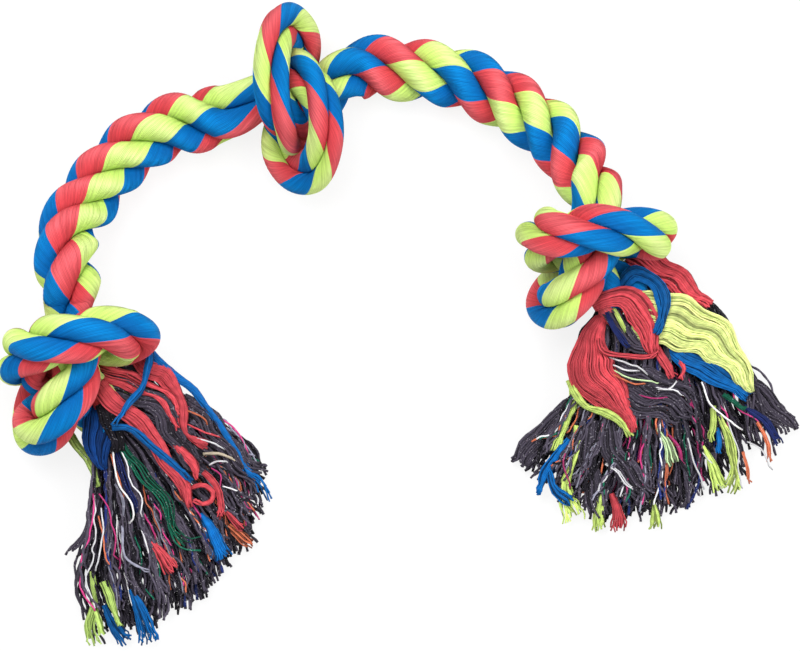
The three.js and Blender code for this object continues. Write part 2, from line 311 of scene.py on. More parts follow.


# %% [markdown]
# ## Cover yarn of the rope
# Each strand is a charcoal bundle hidden under fine yarns, a third of them red, a third lime and a third blue,
# laid side by side. So a strand's surface is three smooth bands with fine lines along them. The map on the
# strand's mesh gives the place round the strand, once round from 0 to 1, and the length along it in metres.
# Each band is painted paler on a strand's crown than in its grooves, a painted highlight where the crown catches the
# light.

# %% Cover yarn finish
full_shades = colour(228, 76, 84), colour(216, 250, 126), colour(0, 110, 188)
# Paler shades of the three bands, for the painted highlight on the strands' crowns
crown_highlight_shades = colour(255, 128, 136), colour(244, 255, 182), colour(2, 150, 228)
yarns_round = 66
drift_scale = 22.0
band_edge_drift = 0.012
yarn_drift = 5.0
grain_scales = (160.0, 260.0)
streak_scales = (45.0, 60.0)
least_shade, grain_shade, streak_shade, ripple_shade = 0.36, 0.4, 0.7, 0.12
least_crown_highlight, streak_crown_highlight = 0.1, 0.7
ripple_relief, grain_relief = 0.5, 0.9
relief_depth = 0.0004


def thirds(finish, band, first, second, third):
    """One of three colours, by where a point lies in a turn from 0 to 1."""
    two = finish.mix(band.above(1 / 3), first, second)
    return finish.mix(band.above(2 / 3), two, third)


def cover_yarn():
    finish = Finish("cover_yarn", {"Roughness": 0.7, "Specular IOR Level": 0.12})
    place, round_share, length = finish.strand_place()
    drift = finish.noise(place, drift_scale) - 0.5
    band = (round_share + drift * band_edge_drift).fraction()
    full, pale = thirds(finish, band, *full_shades), thirds(finish, band, *crown_highlight_shades)
    ripple = (round_share * (2 * math.pi * yarns_round) + drift * yarn_drift).sine()
    grain = finish.streaked(round_share, length, grain_scales, 4.0)
    streaks = finish.streaked(round_share, length, streak_scales, 3.0)
    # The ripple paints shade in the lines between yarns and a faint highlight on each yarn; grain and streaks vary the
    # tone at random
    shade = least_shade + grain * grain_shade + streaks * streak_shade + ripple * ripple_shade
    # Painted highlight: each band fades towards its paler shade where the strand's crown faces out
    crown = finish.node("Attribute", {"attribute_name": "crown"}, {}, output=2)
    highlighted_colour = finish.mix(crown * (least_crown_highlight + streaks * streak_crown_highlight), full, pale)
    finish.feed("Base Color", finish.scaled(highlighted_colour, shade))
    relief = ripple * ripple_relief + grain * grain_relief
    finish.feed("Normal", finish.node("Bump", {}, {"Strength": 0.6, "Distance": relief_depth, "Height": relief}))
    return finish.material


cover_yarn_finish = cover_yarn()
print(cover_yarn_finish.name, "nodes", len(cover_yarn_finish.node_tree.nodes))

# %% [markdown]
# ## Tubes as grids
# Strands and loose yarns are all long tubes, closed at both ends. A curve with a round bevel would do for a plain
# tube, but a grid of points lets every ring have its own outline, and goes into a mesh at once.

# %% Tubes as grids
def tube_faces(starts, around, lengths):
    """Faces of tubes that start at given points, their corners' share round and length along, and the end faces."""
    rows, ring, caps = len(lengths), np.arange(around), []
    row, column = np.meshgrid(np.arange(rows - 1), ring, indexing="ij")
    corners = [(row, column), (row, column + 1), (row + 1, column + 1), (row + 1, column)]
    quads = np.stack([r * around + c % around for r, c in corners], axis=-1).reshape(-1, 4)
    on_map = np.stack([np.stack([c / around, lengths[r]], axis=-1) for r, c in corners], axis=2).reshape(-1, 2)
    for start in starts:
        caps += [start + ring[::-1], start + (rows - 1) * around + ring]
    return np.vstack([start + quads for start in starts]), np.tile(on_map, (len(starts), 1)), caps


def mesh_object(name, vertices, quads, map_corners, caps):
    """An object from arrays of points, four-cornered faces, their places on the map, and end faces."""
    mesh = bpy.data.meshes.new(name)
    loops = np.concatenate([quads.ravel(), *caps]).astype(np.int32)
    face_sizes = np.array([4] * len(quads) + [len(cap) for cap in caps])
    mesh.vertices.add(len(vertices))
    mesh.vertices.foreach_set("co", vertices.astype(np.float32).ravel())
    mesh.loops.add(len(loops))
    mesh.loops.foreach_set("vertex_index", loops)
    mesh.polygons.add(len(face_sizes))
    mesh.polygons.foreach_set("loop_start", (np.cumsum(face_sizes) - face_sizes).astype(np.int32))
    mesh.update(calc_edges=True)
    layer = mesh.uv_layers.new(name="yarn_place")
    all_corners = np.zeros((len(loops), 2), np.float32)
    all_corners[: len(map_corners)] = map_corners
    layer.data.foreach_set("uv", all_corners.ravel())
    mesh.polygons.foreach_set("use_smooth", np.ones(len(face_sizes), bool))
    mesh.validate()
    return placed(name, mesh)

# %% [markdown]
# ## Rope
# The three strands press each other into wedges with round backs. Each is a tube whose rings follow the lay, and
# whose columns follow its yarns, which stay nearly parallel to the rope while the strand winds round it. The rope
# is made as two lengths that meet in the middle knot. Where a strand would pass below the ground its underside
# is eased flat, as the toy's own weight presses it.

# %% Strand shape
strand_count = 3
columns = 2 * yarns_round
ring_spacing = 0.0013
ridge_height_share = 0.009
strand_centre_share = 0.47
strand_back_share = 0.53
wedge_share = 0.415
flank_angle = math.radians(150)
least_flank_share = 0.02
corner_softness = 7
floor_softness = 0.0004
band_drift_share = 0.18
band_turn_points = [
    0, 4, 5.5, 9, 12, 19, 21, 25, 26.5, 28, 30, 32, 34, 38, 42, 45, 47.5, 50, 52, 53.5, 56, 60, 64, 67, 75,
]
band_turn_shares = [
    [0, 0, 0.25, 0.25, 0, 0, 0.36, 0.36, 0.54, 0.55, 0.95, 1.35, 1.74, 2.5, 3.27, 3.5, 3.5, 3.64, 3.7, 3.74, 3.8, 4,
     4.1, 4.1, 4.1],
    [0, 0, 0.2, 0.25, 0, 0, 0.36, 0.36, 0.54, 0.55, 0.95, 1.33, 1.7, 2.75, 3.58, 4.1, 4.18, 4.18, 4.18, 4.25, 4.58,
     4.7, 4.84, 4.84, 4.84],
    [0, 0, 0.25, 0.25, 0, 0, 0.34, 0.34, 0.54, 0.55, 0.8, 1.18, 1.6, 2.45, 3.28, 3.85, 3.9, 3.88, 3.88, 4, 4.5, 4.5,
     4.45, 4.45, 4.45],
]

def strand_reach(angle):
    """Distance from a strand's middle to its surface, as a share of the rope's radius, at an angle from outwards."""
    flank = np.maximum(np.cos(angle - flank_angle), np.cos(angle + flank_angle))
    flat = np.clip(flank, least_flank_share, None) / wedge_share
    return (strand_back_share ** -corner_softness + flat ** corner_softness) ** (-1 / corner_softness)


def band_turn(strand, index, lay):
    """How far a strand's colour bands are turned round it, in turns."""
    return band_drift_share * lay / 2 / math.pi + np.interp(
        index / samples_per_point, band_turn_points, band_turn_shares[strand]
    )


def between(values, index):
    """Values of the finely sampled rope at places between its samples."""
    below = np.minimum(index.astype(int), len(values) - 2)
    share = (index - below).reshape((-1,) + (1,) * (values.ndim - 1))
    return values[below] * (1 - share) + values[below + 1] * share


def strand_rings(strand, index):
    """Rings of points down one strand, and how near each point lies to the strand's crown."""
    place, size, tangent = between(places, index), between(sizes, index), unit(between(along, index))
    side, third, lay = unit(between(across, index)), unit(between(other, index)), between(lay_angle, index)
    turn = lay + 2 * math.pi * strand / strand_count
    outwards = side * np.cos(turn)[:, None] + third * np.sin(turn)[:, None]
    sideways = np.cross(tangent, outwards)
    round_share = np.arange(columns) / columns
    angle = 2 * math.pi * (round_share[None, :] - band_turn(strand, index, lay)[:, None]) - 2 * turn[:, None]
    reach = strand_reach(angle) + ridge_height_share * (-1) ** np.arange(columns)
    out = strand_centre_share + reach * np.cos(angle)
    beside = reach * np.sin(angle)
    offset = out[..., None] * outwards[:, None] + beside[..., None] * sideways[:, None]
    rings = place[:, None] + offset * size[:, None] / 2
    rings[..., 2] = floor_softness * np.logaddexp(0, rings[..., 2] / floor_softness)
    return rings, np.clip(np.cos(angle), 0, 1) ** 2


def rope_length(name, first_point, last_point):
    """One length of rope, its three strands in one mesh, and the points of its middle line."""
    first, last = first_point * samples_per_point, last_point * samples_per_point
    ring_count = int((travelled[last] - travelled[first]) / ring_spacing) + 1
    wanted = np.linspace(travelled[first], travelled[last], ring_count)
    index = np.interp(wanted, travelled, np.arange(len(travelled)))
    rings, crowns = zip(*[strand_rings(strand, index) for strand in range(strand_count)])
    starts = np.arange(strand_count) * ring_count * columns
    made = mesh_object(name, np.concatenate(rings).reshape(-1, 3), *tube_faces(starts, columns, wanted))
    made.data.attributes.new("crown", "FLOAT", "POINT").data.foreach_set("value", np.concatenate(crowns).ravel())
    return made, between(places, index)


# %% Rope made
bend_reach = 0.02


def dress_rope(name, first_point, last_point, bend_point, outwards, knots):
    """A length of rope with its finish, with the frame's strands of its knots hidden. Its outer knot comes first."""
    rope, centres = rope_length(name, first_point, last_point)
    rope.data.materials.append(cover_yarn_finish)
    at = bend_point * samples_per_point
    direction = unit(places[at + 1] - places[at - 1]) * outwards * bend_reach
    tuple(places[at] + direction)
    tuple(places[at] - direction)
    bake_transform(rope)
    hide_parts(*[f"{knot}_knot_strand_{number}" for knot in knots for number in (1, 2, 3)])


dress_rope("left_rope", left_root_point, split_point, left_bend_point, -1, ["left", "middle"])
dress_rope("right_rope", split_point, right_root_point, right_bend_point, 1, ["right"])

# %% [markdown]
# ## Yarns of the tassels
# Past its end knots the rope is frayed right out. Most of its yarns are the charcoal core yarns, about a
# millimetre thick and plied from two, with a few white, orange, pink and green ones among them. The cover yarns
# came off in wavy sheets and ribbons that keep the twist they had in the rope. Each yarn is a thin tube along its
# own path, and a tassel is some nine hundred of them. All tubes are worked out at once as one grid of numbers.

# %% Yarn tubes
yarn_radius = 0.00052
fine_radius = 0.00036
yarn_sides = 6
yarn_step = 0.0018
ply_length = 0.009
ply_depth_share = 0.16
rest_height = 0.0007
# A direction that no yarn takes exactly
nearly_up = (0.11, 0.07, 1.0)
chance = np.random.default_rng(7)


def along_path(path, count):
    """A path with its points spread evenly, count of them."""
    gaps = np.linalg.norm(np.diff(path, axis=0), axis=1)
    reached = np.concatenate([[0], np.cumsum(gaps)]) / gaps.sum()
    wanted = np.linspace(0, 1, count)
    before = np.clip(np.searchsorted(reached, wanted, side="right") - 1, 0, len(reached) - 2)
    share = ((wanted - reached[before]) / (reached[before + 1] - reached[before]))[:, None]
    return path[before] * (1 - share) + path[before + 1] * share


def yarn_tubes(paths, radius):
    """Rings of points round each path, of shape (yarns, points, sides, 3), and the length along at each ring."""
    tangent = unit(np.gradient(paths, axis=1))
    side = unit(np.cross(tangent, nearly_up))
    upwards = np.cross(side, tangent)
    steps_along = np.linalg.norm(np.diff(paths, axis=1), axis=2)
    length = np.concatenate([np.zeros((len(paths), 1)), np.cumsum(steps_along, axis=1)], axis=1)
    angle = 2 * math.pi * np.arange(yarn_sides) / yarn_sides
    turn = 2 * math.pi * length / ply_length + chance.uniform(0, 2 * math.pi, (len(paths), 1))
    reach = (1 + ply_depth_share * np.cos(2 * (angle - turn[..., None]))) * radius[:, None, None]
    ring = side[:, :, None] * np.cos(angle)[:, None] + upwards[:, :, None] * np.sin(angle)[:, None]
    return paths[:, :, None] + ring * reach[..., None], length


def yarn_object(name, batches):
    """One mesh of many yarns, from batches of paths, radii and colours."""
    vertices, quads, maps, tones, caps, start = [], [], [], [], [], 0
    for paths, radius, colours in batches:
        rings, length = yarn_tubes(paths, radius)
        yarns, points = length.shape
        firsts = start + np.arange(yarns) * points * yarn_sides
        faces, on_map, ends = tube_faces(firsts, yarn_sides, length[0])
        quads.append(faces)
        maps.append(on_map)
        caps += ends
        vertices.append(rings.reshape(-1, 3))
        tones.append(np.repeat(colours, points * yarn_sides, axis=0))
        start += len(vertices[-1])
    made = mesh_object(name, np.vstack(vertices), np.vstack(quads), np.vstack(maps), caps)
    layer = made.data.attributes.new("yarn_colour", "FLOAT_COLOR", "POINT")
    layer.data.foreach_set("color", np.vstack(tones).astype(np.float32).ravel())
    return made


# %% Yarn finish
least_ply_shade, ply_shade = 0.9, 0.14
fleck_scale = 1300.0
fleck_level = 0.68
fleck_colour = colour(200, 195, 205)


def loose_yarn(name, flecks):
    """Matt cotton, each yarn in its own colour, with painted shade in fine lines between its plies and small pale
    flecks.
    """
    finish = Finish(name, {"Roughness": 0.75, "Specular IOR Level": 0.2})
    _, round_share, length = finish.strand_place()
    tint = finish.node("Attribute", {"attribute_name": "yarn_colour"}, {})
    plies = (round_share * (4 * math.pi) - length * (4 * math.pi / ply_length)).sine()
    fleck = finish.noise(finish.node("NewGeometry", {}, {}), fleck_scale, 1.0).above(fleck_level)
    # Painted shade in the creases between plies, and a faint painted highlight on their tops
    shaded = finish.scaled(tint, least_ply_shade + plies * ply_shade)
    finish.feed("Base Color", finish.mix(fleck * flecks, shaded, fleck_colour))
    return finish.material


# The tints of the yarns in each colour slot
tints = {
    "charcoal": {
        "charcoal": (73, 67, 81), "black": (26, 23, 31), "grey": (150, 150, 168), "navy": (34, 48, 110),
        "white": (236, 236, 240), "cream": (238, 222, 196), "orange": (216, 118, 84), "pink": (196, 60, 124),
        "green": (20, 104, 80), "pale green": (196, 224, 170), "odd red": (214, 78, 88),
    },
    "red": {"red": (214, 78, 88), "rust": (216, 118, 84)},
    "lime": {"lime": (220, 248, 132), "pale lime": (234, 249, 156), "dull lime": (184, 214, 116)},
    "blue": {"blue": (4, 104, 180), "deep blue": (4, 58, 124), "indigo": (34, 48, 110)},
}
slot_of = {tint: slot for slot, group in tints.items() for tint in group}


def toned(colours, tone):
    """Colours made lighter or darker by each yarn's own tone."""
    tone = tone[:, None]
    return colours * np.hstack([tone, tone, tone, np.ones_like(tone)])


def tinted(tint, yarns, spread=0.16):
    """A colour for each yarn, a little lighter or darker than its neighbours."""
    shade = np.array(colour(*tints[slot_of[tint]][tint]))
    return np.clip(toned(shade, 1 + chance.uniform(-spread, spread, yarns)), 0, 1)


print("tints", len(slot_of))

# %% [markdown]
# ## Heap of a tassel
# The frayed yarns lie as a heap that fans out from the knot and sinks as it spreads. Three edges seen from above,
# the same as in the frame, say where it lies. A yarn keeps its share across and up through the heap and strays a
# little from it. Yarns that left the rope together cling in locks, in three layers. The yarns of one lock end
# close together, as they were cut, and the lower locks reach farther out.

# %% Heap of a tassel
tassel_length = 0.1
root_radius = 0.523 * rope_diameter
root_height = 0.92 * rope_diameter
end_height = 0.011
root_lift = 0.15 * rope_diameter
left_root_shares = [(-0.515, -1.015), (0.846, -0.765), (0.956, 0.618)]
left_edge_shares = [
    [(-0.09, -0.39), (-0.12, -0.63), (-0.06, -0.91)],
    [(0.22, -0.29), (0.34, -0.51), (0.4, -0.73)],
    [(0.34, 0.04), (0.52, -0.09), (0.655, -0.29)],
]
right_root_shares = [(-0.618, -0.956), (0.765, -0.846), (1.015, 0.515)]
right_edge_shares = [
    [(-0.2, -0.32), (-0.32, -0.5), (-0.43, -0.65)],
    [(0.1, -0.42), (0.1, -0.66), (0.07, -0.9)],
    [(0.34, 0.02), (0.5, -0.25), (0.68, -0.55)],
]
edge_samples = 24
top_distances = [0, 0.035, 0.065, 0.1, 0.13]
top_heights = [0.027, 0.0205, 0.0155, 0.011, 0.004]
end_curl = 0.001


def on_line(line, steps):
    """Places on a line of points seen from above, at steps counted from its start."""
    return np.stack([np.interp(steps, np.arange(len(line)), line[:, axis]) for axis in (0, 1)], axis=-1)


class Tassel:
    """One tassel: where its heap lies, and the batches of yarn in each colour slot."""

    def __init__(self, side, root_point, outwards, root_shares, edge_shares):
        self.side = side
        at = root_point * samples_per_point
        self.root = places[at]
        self.outwards = unit(places[at + 1] - places[at - 1]) * outwards
        self.edges = []
        for root_share, shares in zip(root_shares, edge_shares):
            points = [np.array(root_share) * root_radius] + [np.array(share) * tassel_length for share in shares]
            self.edges.append(spline(np.array(points) + self.root[:2], edge_samples))
        self.batches = {slot: [] for slot in tints}

    def place(self, along_share, across_share, up_share):
        """Places in the heap. All three shares are arrays of one shape."""
        steps = np.clip(along_share, 0, 1) * (len(self.edges[0]) - 1)
        low, middle, high = [on_line(edge, steps) for edge in self.edges]
        a = across_share[..., None]
        flat = middle + (high - low) * a / 2 + (high + low - 2 * middle) * a * a / 2
        fall = np.clip(1 - 3 * along_share, 0, 1)
        height = root_height + (end_height - root_height) * along_share
        return np.concatenate([flat, (root_lift * fall + height * up_share)[..., None]], axis=-1)

    def top(self, flat_places):
        """Height of the heap at places on the ground, from their distance to the root."""
        far = np.linalg.norm(flat_places - self.root[:2], axis=-1)
        return np.interp(far, top_distances, top_heights)


def eased(values):
    """0 up to 0, 1 from 1 on, and smooth between."""
    held = np.clip(values, 0, 1)
    return held * held * (3 - 2 * held)


def smooth_noise(rows, points, waves):
    """Rows of smooth random curves from -1 to 1, with about so many waves from end to end."""
    marks = np.linspace(0, 1, points)
    knots = np.linspace(0, 1, 2 * waves + 1)
    values = chance.uniform(-1, 1, (rows, len(knots)))
    spot = marks * (len(knots) - 1)
    before = np.minimum(spot.astype(int), len(knots) - 2)
    share = eased(spot - before)
    return values[:, before] * (1 - share) + values[:, before + 1] * share

# %% [markdown]
# ## Yarns of the heap
# Each yarn gets its lock, then its path, then a few waves and a curl at its end. Yarns of other colours stay low
# at the root and rise to the top. Every root is drawn into the knot's rope, so that no yarn starts in the air.

# %% Yarns of the heap
heap_mix = {
    "charcoal": 0.58, "black": 0.26, "navy": 0.03, "white": 0.03, "orange": 0.03, "pink": 0.025, "green": 0.015,
    "grey": 0.03,
}
dark_kinds = ["charcoal", "black", "navy"]
heap_yarns = 430
heap_points = 56
locks_each_side = 11
layer_reach = np.array([0.98, 0.95, 0.86])
lock_reach_change = (-0.07, 0.03)
lock_tone = (0.8, 1.15)
lock_cling = 0.9
lock_rise = 0.2
gather_rate = 2.5
level_by, height_by = 0.45, 0.55
shortest_yarn_share = 0.94
odd_yarn_level = 0.6
stray_across = 0.06
stray_up = 0.22
root_height_share = 0.82
root_width_share = 0.62
root_overlap = 0.007
smoothed_points = 8
smoothings = 8
heap_wave = 0.0007


def fill_heap(tassel):
    """The dark yarns that make the body of the heap, with a few of other colours among them."""
    yarns, layers = heap_yarns, len(layer_reach)
    across_share = (np.arange(yarns) + chance.uniform(0, 1, yarns)) / yarns * 2 - 1
    kinds = chance.choice(list(heap_mix), yarns, p=list(heap_mix.values()))
    dark = np.isin(kinds, dark_kinds)
    up_share = chance.uniform(0.02, 0.98, yarns) ** 0.8
    up_share = np.where(dark, up_share, odd_yarn_level + (1 - odd_yarn_level) * up_share)
    marks = np.linspace(0, 1, heap_points)

    layer = np.minimum((up_share * layers).astype(int), layers - 1)
    lock_spot = across_share * locks_each_side + layer / layers
    lock = np.round(lock_spot).astype(int) + locks_each_side
    all_locks = (layers, 2 * locks_each_side + 2)
    gather = (np.round(lock_spot) - lock_spot) / locks_each_side * chance.uniform(0, lock_cling, yarns)
    tone = chance.uniform(*lock_tone, all_locks)[layer, lock]
    reach_share = layer_reach[layer] + chance.uniform(*lock_reach_change, all_locks)[layer, lock]
    reach_share = reach_share * chance.uniform(shortest_yarn_share, 1, yarns)
    ridge = np.where(lock % 2, lock_rise, -lock_rise)

    across = across_share[:, None] + gather[:, None] * eased(gather_rate * marks)
    across = across + smooth_noise(yarns, heap_points, 3) * stray_across * marks
    buried = np.where(dark, 0, odd_yarn_level)[:, None] * (1 - eased(marks / level_by))
    stray = smooth_noise(yarns, heap_points, 3) * stray_up
    up = np.clip(up_share[:, None] - buried + ridge[:, None] + stray, 0.02, 1)
    up = up * (root_height_share + (1 - root_height_share) * eased(marks / height_by))
    paths = tassel.place(reach_share[:, None] * marks, across, up)
    early, late = np.minimum(1, 4 * marks), np.clip(5 * marks - 4, 0, 1)
    for waves, size, share in ((8, heap_wave, early), (7, end_curl, late)):
        for axis in (0, 1):
            paths[..., axis] += smooth_noise(yarns, heap_points, waves) * size * share

    first = tassel.root + (paths[:, 0] - tassel.root) * root_width_share - tassel.outwards * root_overlap
    first[:, 2] = tassel.root[2] + (paths[:, 0, 2] - tassel.root[2]) * root_width_share
    paths = np.concatenate([first[:, None], paths], axis=1)
    end = smoothed_points + 1
    for _ in range(smoothings):
        paths[:, 1:end] = (paths[:, :end - 1] + 2 * paths[:, 1:end] + paths[:, 2:end + 1]) / 4
    paths[..., 2] = np.maximum(paths[..., 2], rest_height)
    colours = np.vstack([tinted(kind, 1, 0.35) for kind in kinds])
    # Dark yarns lower in the heap are darker: partly dust, partly painted shade from the yarns above
    colours[:, :3] *= np.where(dark, (0.5 + 0.75 * up_share) * tone, 1)[:, None]
    radius = np.where(dark, yarn_radius, fine_radius) * chance.uniform(0.9, 1.15, yarns)
    tassel.batches["charcoal"].append((paths, radius, colours))


left_tassel = Tassel("left", left_root_point, -1, left_root_shares, left_edge_shares)
right_tassel = Tassel("right", right_root_point, 1, right_root_shares, right_edge_shares)
fill_heap(left_tassel)
fill_heap(right_tassel)
print("yarns in each heap", heap_yarns)

# %% [markdown]
# ## Ribbons, sheets and single yarns
# The coloured yarns that can be told apart are laid one by one: each ribbon follows a few places seen in the
# photograph. It rides at a share of the heap's height, so a share above 1 lies on top. Yarns of one sheet wave
# together, because they left the rope side by side.

# %% Ribbons
wave_length = 0.0165
clump_start_share = 0.3
clump_cling = 0.94
clump_wander = 0.0003
clump_lift = 0.0004
clump_tone = (-0.34, 0.14)
gap_depth = 0.0005
# How dark the last yarn of a clump is painted, as shade in the gap beside it
gap_painted_shade = 0.34
few_yarns = 5
flared_end, even_end = 0.16, 0.05
wave_start = 0.012
wave_lag = 0.9
dive_length = 0.006
dive_depth = 0.003
edge_fall = 0.0015
path_samples = 16
fewest_points = 8
neighbour_lift = 0.9
wave_rise, wave_frizz = 0.7, 0.35
curl_start = 0.75


def clumps(yarns):
    """The clump of three or four that each yarn clings to, and which yarns are last in one."""
    starts = chance.random(yarns) < (clump_start_share if yarns > few_yarns else 0)
    starts[0] = True
    clump = np.cumsum(starts) - 1
    return clump, np.append(np.diff(clump) > 0, False)


def spread(values, marks):
    """A value at each mark from 0 to 1, from one value or from several at even steps."""
    values = np.atleast_1d(values)
    return np.interp(marks, np.linspace(0, 1, len(values)), values)


def ribbon(tassel, tint, widths, yarns, heights, wave_tenths, spots):
    """Yarns side by side along a few places of the photograph, diving into the heap where they start."""
    wave = wave_tenths / 10000
    centre = spline([seen_at(*spot) for spot in np.reshape(spots, (-1, 2))], path_samples)
    length = np.linalg.norm(np.diff(centre, axis=0), axis=1).sum()
    points = max(fewest_points, int(length / yarn_step))
    centre = along_path(centre, points)
    marks = np.linspace(0, 1, points)
    slope = unit(np.gradient(centre, axis=0))
    beside = np.stack([slope[:, 1], -slope[:, 0]], axis=-1)
    width = spread(widths, marks) * pixel

    row = np.arange(yarns)
    clump, last = clumps(yarns)
    place = (row + chance.uniform(0.3, 0.7, yarns)) / yarns * 2 - 1
    middles = np.array([place[clump == number].mean() for number in range(clump[-1] + 1)])
    place = middles[clump] + (place - middles[clump]) * clump_cling
    radius = yarn_radius if tint == "charcoal" else fine_radius
    flares = yarns > few_yarns and width[-1] >= width[0]
    ends = 1 - (flared_end if flares else even_end) * chance.uniform(0, 1, yarns)
    phase = chance.uniform(0, 2 * math.pi)
    far = marks * length * ends[:, None]
    swing = np.minimum(1, far / wave_start)
    beat = 2 * math.pi * far / wave_length + phase + place[:, None] * wave_lag
    wander = smooth_noise(len(middles), points, 3)[clump] * clump_wander * swing
    loose_end = smooth_noise(yarns, points, 6) * end_curl * eased((marks - curl_start) / (1 - curl_start))
    swung = np.sin(beat) + wave_frizz * smooth_noise(yarns, points, 6)
    aside = place[:, None] * width / 2 + wave * swing * swung + wander + loose_end
    flat = on_line(centre, ends[:, None] * marks * (points - 1)) + aside[..., None] * beside[None]

    lift = (row % 2) * neighbour_lift * radius - last * gap_depth
    lift = lift + chance.uniform(-1, 1, len(middles))[clump] * clump_lift
    sunk = 1 - eased(far / dive_length)
    if yarns < 4:
        sunk = sunk + 1 - eased((length - far) / dive_length)
    height = tassel.top(flat) * spread(heights, marks) + lift[:, None] + wave * wave_rise * swing * np.cos(beat)
    height = height - edge_fall * place[:, None] ** 2 - dive_depth * sunk
    paths = np.concatenate([flat, np.maximum(height, rest_height)[..., None]], axis=-1)
    tone = 1 + chance.uniform(*clump_tone, len(middles))[clump]
    # The last yarn of each clump is painted dark, as shade in the gap between clumps
    colours = toned(tinted(tint, yarns), np.where(last, gap_painted_shade, tone))
    batch = (paths, radius * chance.uniform(0.85, 1.1, yarns), np.clip(colours, 0, 1))
    tassel.batches[slot_of[tint]].append(batch)


# %% [markdown]
# ## What lies on the left tassel
# Every row is one ribbon or single yarn: its tint, its widths in pixels, its number of yarns, its shares of the
# heap's height, its waviness in tenths of a millimetre, and column and row of each place in the photograph. Where
# widths or heights change, they do so in even steps from start to end. The lowest ribbons come first.

